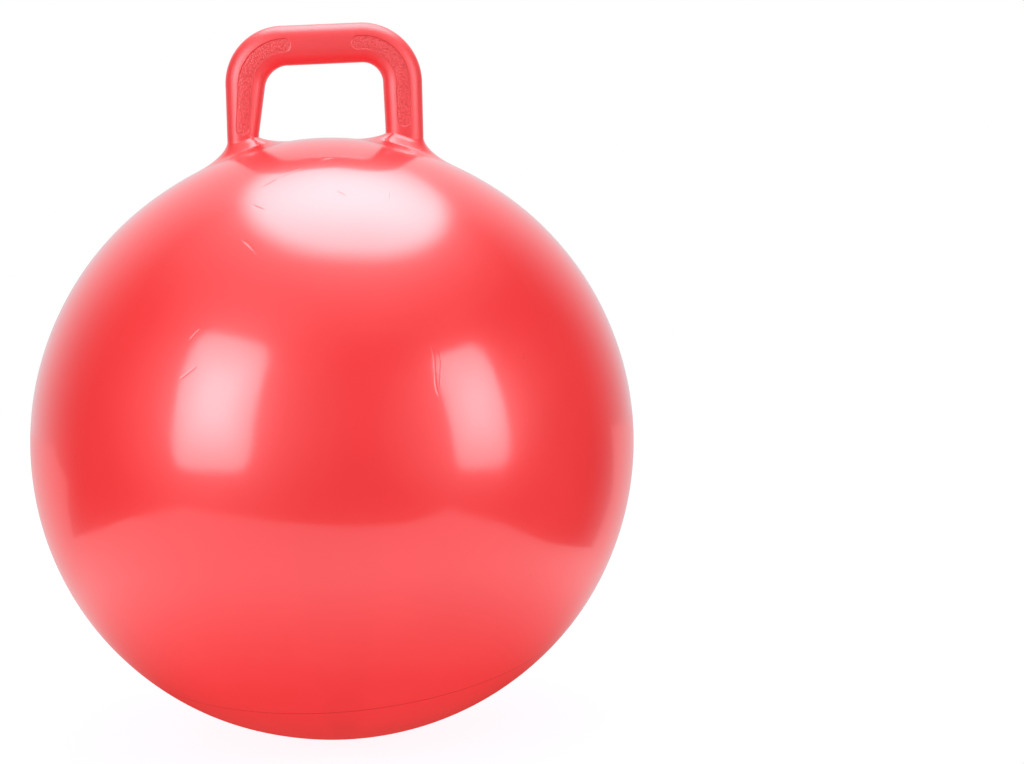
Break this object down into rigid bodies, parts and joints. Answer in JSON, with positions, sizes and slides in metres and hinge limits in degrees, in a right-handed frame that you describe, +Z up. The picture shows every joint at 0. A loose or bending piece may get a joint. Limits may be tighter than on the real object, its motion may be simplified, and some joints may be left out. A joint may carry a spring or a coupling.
{
  "type": "hopper ball",
  "caption": "Blown-up bouncing ball that a child sits on and hops, with a moulded loop handle on its crown and a valve with a pull-out plug at the back.",
  "frame": {"origin": "on the floor, at the middle of the patch that the ball stands on", "axes": "+Z up through the ball's middle and the handle, +X to the right along the handle's bar, -Y to the front"},
  "size_m": [0.5498, 0.5498, 0.65],
  "materials": {
    "skin_vinyl": "smooth glossy vinyl",
    "handle_vinyl": "smooth glossy vinyl with stippled grip panels",
    "plug_plastic": "satin"
  },
  "bodies": {
    "ball": {"ball_skin": "skin_vinyl", "handle": "handle_vinyl", "valve_seat": "skin_vinyl"},
    "plug": {"valve_plug": "plug_plastic"}
  },
  "joints": [
    {"name": "plug_pull", "type": "slide", "parent": "ball", "child": "plug", "axis": [0, 0.5878, 0.809], "range_m": [0, 0.035]}
  ]
}
